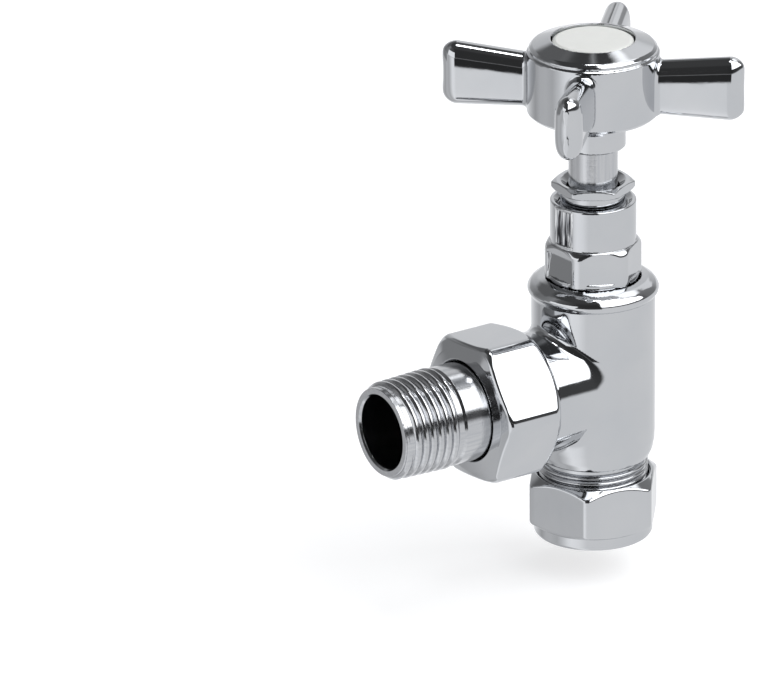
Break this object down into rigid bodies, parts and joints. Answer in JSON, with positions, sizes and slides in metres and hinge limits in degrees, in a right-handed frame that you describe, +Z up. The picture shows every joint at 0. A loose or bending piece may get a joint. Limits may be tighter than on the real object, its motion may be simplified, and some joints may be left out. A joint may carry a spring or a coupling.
{
  "type": "manual angled radiator valve with cross handle",
  "caption": "Chrome angled radiator valve with a four-armed cross handle, hexagon bonnet, compression nut for pipe and a threaded radiator tail held by a union nut.",
  "frame": {"origin": "on the barrel axis at the pipe entry face of the compression nut", "axes": "+Z up the barrel axis to the handle, +X along the branch to the radiator"},
  "size_m": [0.0764, 0.0464, 0.1094],
  "materials": {
    "chrome": "polished chrome plate on brass",
    "machined_chrome": "chrome plate over fine turning marks",
    "brass": "bare machined brass",
    "copper": null,
    "steel": "zinc plated steel",
    "rubber": "matt black elastomer",
    "packing": "soft white PTFE",
    "cap_plastic": "glossy off-white enamel-like plastic"
  },
  "bodies": {
    "valve": {"body": "chrome", "bonnet": "chrome", "bonnet_o_ring": "rubber", "packing_ring_lower": "packing", "packing_ring_upper": "packing"},
    "jumper": {"jumper": "brass", "seat_washer": "rubber", "washer_nut": "brass"},
    "handle": {"spindle": "machined_chrome", "jumper_clip": "steel", "handle": "chrome", "screw_washer": "steel", "handle_screw": "steel"},
    "cap": {"index_cap": "cap_plastic"},
    "gland_follower": {"gland_follower": "brass"},
    "gland_nut": {"gland_nut": "chrome"},
    "tail": {"tail_piece": "machined_chrome", "tail_o_ring": "rubber"},
    "union_nut": {"union_nut": "chrome"},
    "olive": {"olive": "copper"},
    "compression_nut": {"compression_nut": "chrome"}
  },
  "joints": [
    {"name": "valve_lift", "type": "slide", "parent": "valve", "child": "jumper", "axis": [0, 0, 1], "range_m": [-0.00319, 0]},
    {"name": "handle_turn", "type": "hinge", "parent": "jumper", "child": "handle", "pos_m": [0, 0, 0.09], "axis": [0, 0, 1], "range_deg": [-765.1, 0]},
    {"name": "cap_lift", "type": "slide", "parent": "handle", "child": "cap", "axis": [0, 0, 1], "range_m": [0, 0.01]},
    {"name": "gland_slide", "type": "slide", "parent": "valve", "child": "gland_follower", "axis": [0, 0, 1], "range_m": [0, 0.000388]},
    {"name": "gland_turn", "type": "hinge", "parent": "gland_follower", "child": "gland_nut", "pos_m": [0, 0, 0.076], "axis": [0, 0, 1], "range_deg": [0, 140]},
    {"name": "union_slide", "type": "slide", "parent": "valve", "child": "tail", "axis": [1, 0, 0], "range_m": [0, 0.00726]},
    {"name": "union_turn", "type": "hinge", "parent": "tail", "child": "union_nut", "pos_m": [0.025, 0, 0.0344], "axis": [1, 0, 0], "range_deg": [0, 1440]},
    {"name": "compression_slide", "type": "slide", "parent": "valve", "child": "olive", "axis": [0, 0, -1], "range_m": [0, 0.00726]},
    {"name": "compression_turn", "type": "hinge", "parent": "olive", "child": "compression_nut", "pos_m": [0, 0, 0.007], "axis": [0, 0, -1], "range_deg": [0, 1440]}
  ],
  "couplings": [
    {"joint": "handle_turn", "follows": "valve_lift", "rad_per_m": 4188.8},
    {"joint": "gland_turn", "follows": "gland_slide", "rad_per_m": 6283.2},
    {"joint": "union_turn", "follows": "union_slide", "rad_per_m": 3463.7},
    {"joint": "compression_turn", "follows": "compression_slide", "rad_per_m": 3463.7}
  ]
}
